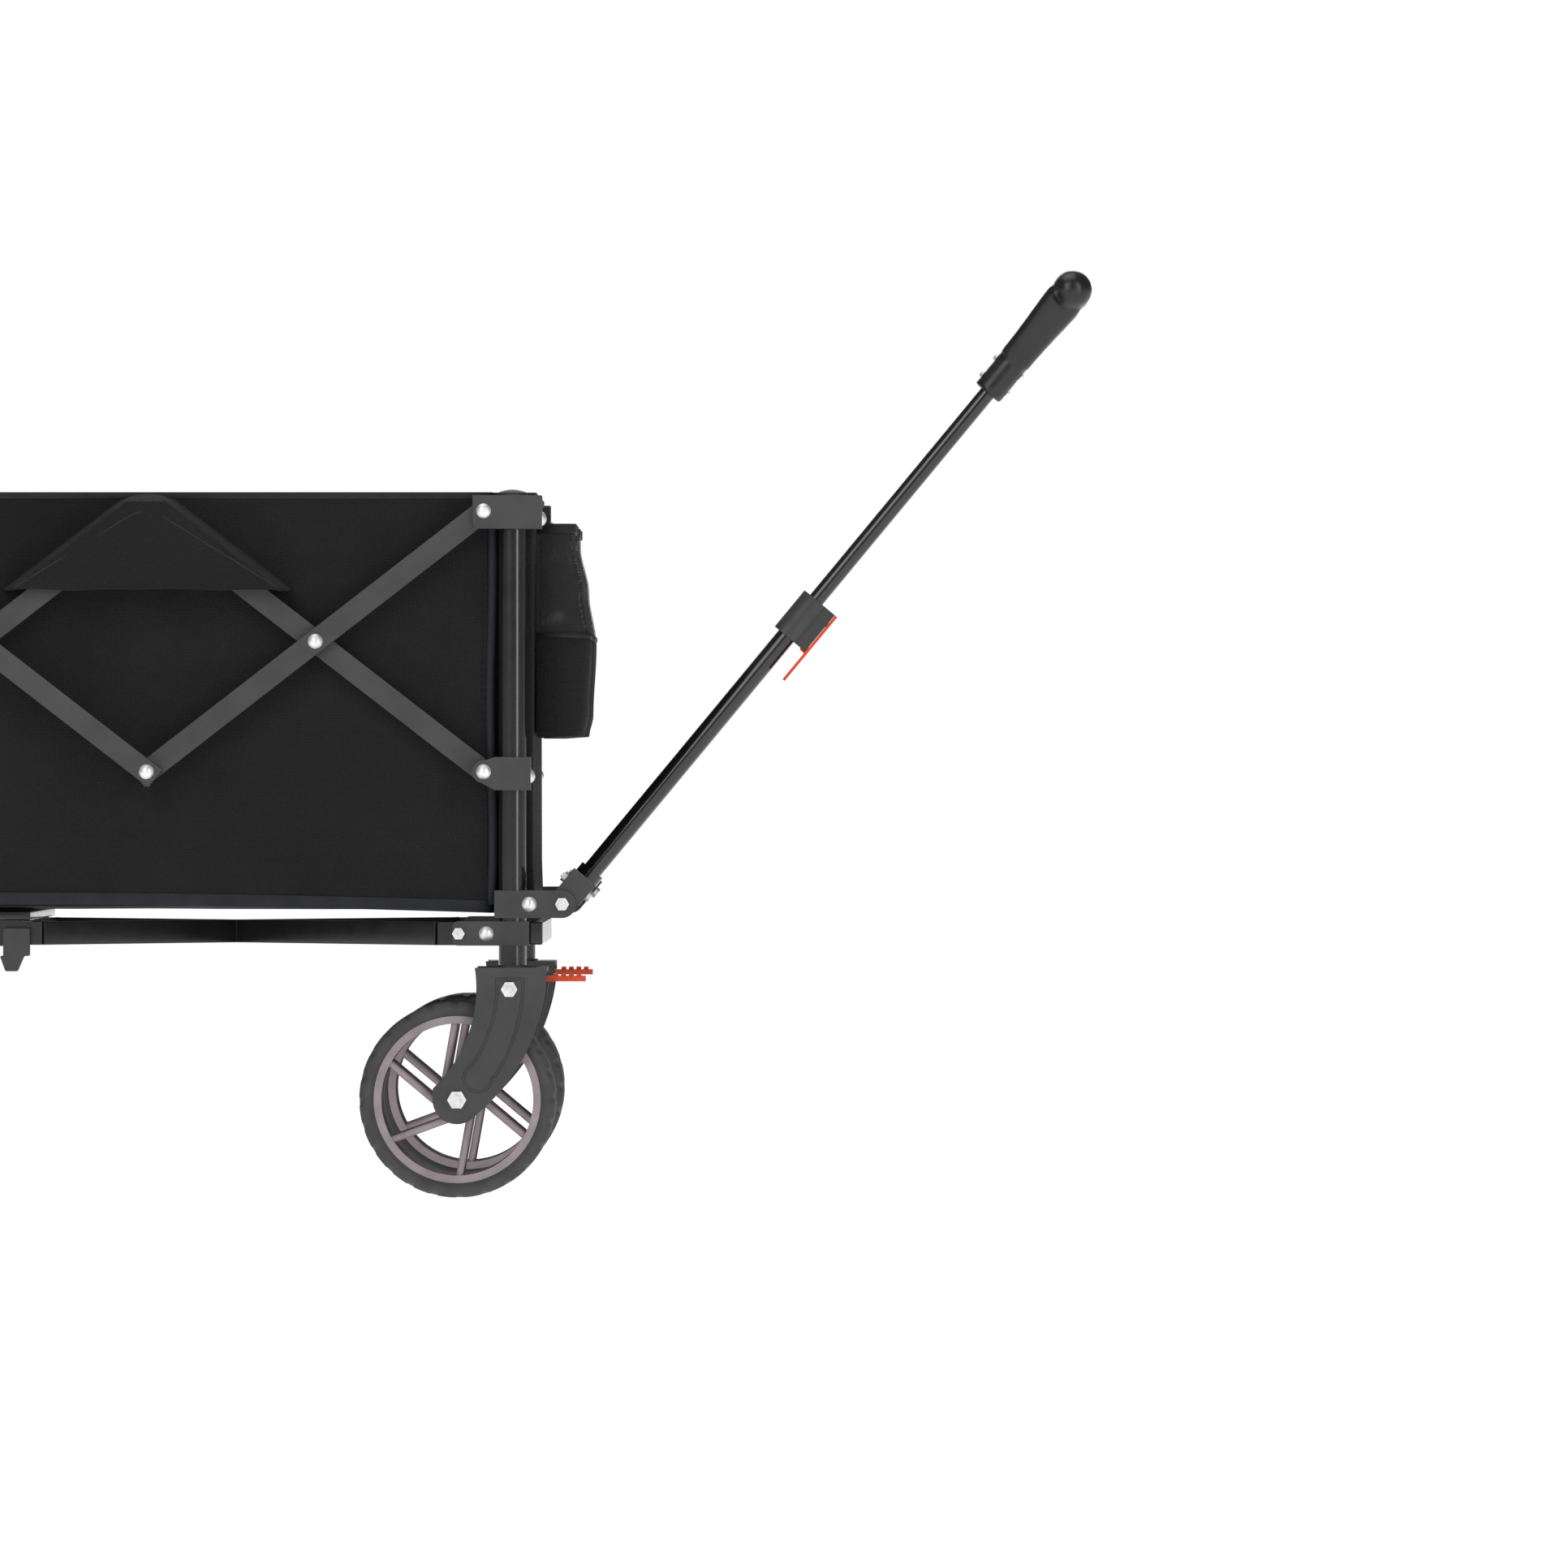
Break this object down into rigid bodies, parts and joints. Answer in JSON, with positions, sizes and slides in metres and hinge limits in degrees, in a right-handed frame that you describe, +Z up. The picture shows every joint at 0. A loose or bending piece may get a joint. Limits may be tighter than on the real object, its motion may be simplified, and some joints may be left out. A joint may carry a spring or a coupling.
{
  "type": "folding wagon",
  "caption": "Folding fabric wagon on a steel scissor frame, with swivel casters, pedal brakes and a telescopic pull handle.",
  "frame": {"origin": "on the ground under the middle of the whole object's box", "axes": "+X towards the pull handle, +Y to the wagon's left, +Z up"},
  "size_m": [1.6322, 0.572, 0.8459],
  "materials": {
    "satin_steel": "satin powder coat",
    "gloss_steel": "gloss black paint",
    "zinc": "bright zinc plate",
    "cloth": "coarse woven polyester",
    "mesh": "open knitted mesh over woven cloth",
    "tread": "matte moulded tread",
    "rim_plastic": "moulded plastic",
    "orange_plastic": "moulded plastic",
    "black_plastic": "fine texture",
    "grip_plastic": "smooth satin"
  },
  "bodies": {
    "front_frame": {"front_posts": "gloss_steel", "front_base_brackets": "satin_steel", "front_cross_bar": "gloss_steel", "handle_brackets": "satin_steel", "front_side_brackets": "satin_steel", "front_fasteners": "zinc"},
    "hub": {"hub_plate": "gloss_steel", "hub_links": "gloss_steel", "hub_feet": "black_plastic"},
    "base_front": {"base_x_front": "gloss_steel"},
    "base_rear": {"base_x_rear": "gloss_steel"},
    "front_top": {"front_top_frame": "gloss_steel", "front_top_brackets": "satin_steel", "front_top_rivets": "zinc", "tub": "cloth", "tub_flaps": "cloth", "front_pockets": "mesh", "floor_mat": "cloth"},
    "rear_frame": {"rear_posts": "gloss_steel", "rear_base_brackets": "satin_steel", "rear_cross_bar": "gloss_steel", "rear_side_brackets": "satin_steel", "rear_fasteners": "zinc", "rear_forks": "satin_steel"},
    "rear_top": {"rear_top_frame": "gloss_steel", "rear_top_brackets": "satin_steel", "rear_top_rivets": "zinc"},
    "link_front_falling": {"bars_front_falling": "satin_steel", "rivets_front": "zinc"},
    "link_front_rising": {"bars_front_rising": "satin_steel"},
    "link_middle_falling": {"bars_middle_falling": "satin_steel", "rivets_middle_falling": "zinc"},
    "link_middle_rising": {"bars_middle_rising": "satin_steel", "rivets_middle_rising": "zinc"},
    "link_rear_rising": {"bars_rear_rising": "satin_steel", "rivets_rear": "zinc"},
    "link_rear_falling": {"bars_rear_falling": "satin_steel"},
    "handle": {"yoke_ends": "satin_steel", "yoke_bar": "gloss_steel", "handle_bolts": "zinc", "lower_tube": "gloss_steel", "collar": "black_plastic"},
    "handle_upper": {"upper_tube": "gloss_steel", "grip": "grip_plastic", "grip_screws": "zinc"},
    "lock_lever": {"lock_lever": "orange_plastic"},
    "caster_left": {"caster_fork_left": "satin_steel", "caster_bolts_left": "zinc"},
    "brake_pedal_left": {"brake_pedal_left": "orange_plastic"},
    "wheel_front_left": {"tyre_front_left": "tread", "rim_front_left": "rim_plastic"},
    "wheel_rear_left": {"tyre_rear_left": "tread", "rim_rear_left": "rim_plastic"},
    "caster_right": {"caster_fork_right": "satin_steel", "caster_bolts_right": "zinc"},
    "brake_pedal_right": {"brake_pedal_right": "orange_plastic"},
    "wheel_front_right": {"tyre_front_right": "tread", "rim_front_right": "rim_plastic"},
    "wheel_rear_right": {"tyre_rear_right": "tread", "rim_rear_right": "rim_plastic"}
  },
  "joints": [
    {"name": "fold", "type": "hinge", "parent": "front_frame", "child": "base_front", "pos_m": [0.23832, 0, 0.238], "axis": [0, 1, 0], "range_deg": [0, 80], "deforming": ["tub", "tub_flaps", "floor_mat"]},
    {"name": "hub_turn", "type": "hinge", "parent": "base_front", "child": "hub", "pos_m": [-0.16048, 0, 0.238], "axis": [0, 1, 0], "range_deg": [-80.01, 0.01]},
    {"name": "base_rear_turn", "type": "hinge", "parent": "hub", "child": "base_rear", "pos_m": [-0.23108, 0, 0.238], "axis": [0, 1, 0], "range_deg": [-80.01, 0.01]},
    {"name": "rear_frame_turn", "type": "hinge", "parent": "base_rear", "child": "rear_frame", "pos_m": [-0.62988, 0, 0.238], "axis": [0, 1, 0], "range_deg": [-0.01, 80.01]},
    {"name": "front_rising_turn", "type": "hinge", "parent": "front_frame", "child": "link_front_rising", "pos_m": [0.26122, 0, 0.3846], "axis": [0, 1, 0], "range_deg": [-0.01, 39.51]},
    {"name": "front_falling_turn", "type": "hinge", "parent": "link_front_rising", "child": "link_front_falling", "pos_m": [0.10889, 0, 0.5026], "axis": [0, 1, 0], "range_deg": [-79.01, 0.01]},
    {"name": "front_top_rise", "type": "hinge", "parent": "link_front_falling", "child": "front_top", "pos_m": [0.26122, 0, 0.6206], "axis": [0, 1, 0], "range_deg": [-0.01, 39.51]},
    {"name": "middle_falling_turn", "type": "hinge", "parent": "link_front_falling", "child": "link_middle_falling", "pos_m": [-0.04344, 0, 0.3846], "axis": [0, 1, 0], "range_deg": [-0.01, 79.01]},
    {"name": "rear_rising_turn", "type": "hinge", "parent": "rear_frame", "child": "link_rear_rising", "pos_m": [-0.65278, 0, 0.3846], "axis": [0, 1, 0], "range_deg": [-39.51, 0.01]},
    {"name": "rear_falling_turn", "type": "hinge", "parent": "link_rear_rising", "child": "link_rear_falling", "pos_m": [-0.50045, 0, 0.5026], "axis": [0, 1, 0], "range_deg": [-0.01, 79.01]},
    {"name": "rear_top_rise", "type": "hinge", "parent": "link_rear_falling", "child": "rear_top", "pos_m": [-0.65278, 0, 0.6206], "axis": [0, 1, 0], "range_deg": [-39.51, 0.01]},
    {"name": "middle_rising_turn", "type": "hinge", "parent": "link_rear_falling", "child": "link_middle_rising", "pos_m": [-0.34811, 0, 0.3846], "axis": [0, 1, 0], "range_deg": [-79.01, 0.01]},
    {"name": "swivel_left", "type": "hinge", "parent": "front_frame", "child": "caster_left", "pos_m": [0.28692, 0.22, 0.2095], "axis": [0, 0, 1], "continuous": true},
    {"name": "brake_left", "type": "hinge", "parent": "caster_left", "child": "brake_pedal_left", "pos_m": [0.28512, 0.22, 0.1882], "axis": [0, 1, 0], "range_deg": [0, 12]},
    {"name": "wheel_front_left_spin", "type": "hinge", "parent": "caster_left", "child": "wheel_front_left", "pos_m": [0.23792, 0.22, 0.0886], "axis": [0, 1, 0], "continuous": true},
    {"name": "wheel_rear_left_spin", "type": "hinge", "parent": "rear_frame", "child": "wheel_rear_left", "pos_m": [-0.72748, 0.22, 0.0886], "axis": [0, 1, 0], "continuous": true},
    {"name": "swivel_right", "type": "hinge", "parent": "front_frame", "child": "caster_right", "pos_m": [0.28692, -0.22, 0.2095], "axis": [0, 0, 1], "continuous": true},
    {"name": "brake_right", "type": "hinge", "parent": "caster_right", "child": "brake_pedal_right", "pos_m": [0.28512, -0.22, 0.1882], "axis": [0, 1, 0], "range_deg": [0, 12]},
    {"name": "wheel_front_right_spin", "type": "hinge", "parent": "caster_right", "child": "wheel_front_right", "pos_m": [0.23792, -0.22, 0.0886], "axis": [0, 1, 0], "continuous": true},
    {"name": "wheel_rear_right_spin", "type": "hinge", "parent": "rear_frame", "child": "wheel_rear_right", "pos_m": [-0.72748, -0.22, 0.0886], "axis": [0, 1, 0], "continuous": true},
    {"name": "handle_pivot", "type": "hinge", "parent": "front_frame", "child": "handle", "pos_m": [0.33212, 0, 0.2647], "axis": [0, 1, 0], "range_deg": [-38, 60]},
    {"name": "handle_slide", "type": "slide", "parent": "handle", "child": "handle_upper", "axis": [0.6374, 0, 0.7705], "range_m": [-0.23, 0]},
    {"name": "lock_lever_turn", "type": "hinge", "parent": "handle", "child": "lock_lever", "pos_m": [0.55112, 0, 0.49883], "axis": [0, 1, 0], "range_deg": [0, 12], "stiffness_Nm_per_rad": 0.3}
  ],
  "couplings": [
    {"joint": "hub_turn", "follows": "fold", "ratio": -1},
    {"joint": "base_rear_turn", "follows": "fold", "ratio": -1},
    {"joint": "rear_frame_turn", "follows": "fold", "ratio": 1},
    {"joint": "front_rising_turn", "follows": "fold", "ratio": 0.49376},
    {"joint": "front_falling_turn", "follows": "fold", "ratio": -0.98752},
    {"joint": "front_top_rise", "follows": "fold", "ratio": 0.49376},
    {"joint": "middle_falling_turn", "follows": "fold", "ratio": 0.98752},
    {"joint": "rear_rising_turn", "follows": "fold", "ratio": -0.49376},
    {"joint": "rear_falling_turn", "follows": "fold", "ratio": 0.98752},
    {"joint": "rear_top_rise", "follows": "fold", "ratio": -0.49376},
    {"joint": "middle_rising_turn", "follows": "fold", "ratio": -0.98752}
  ]
}
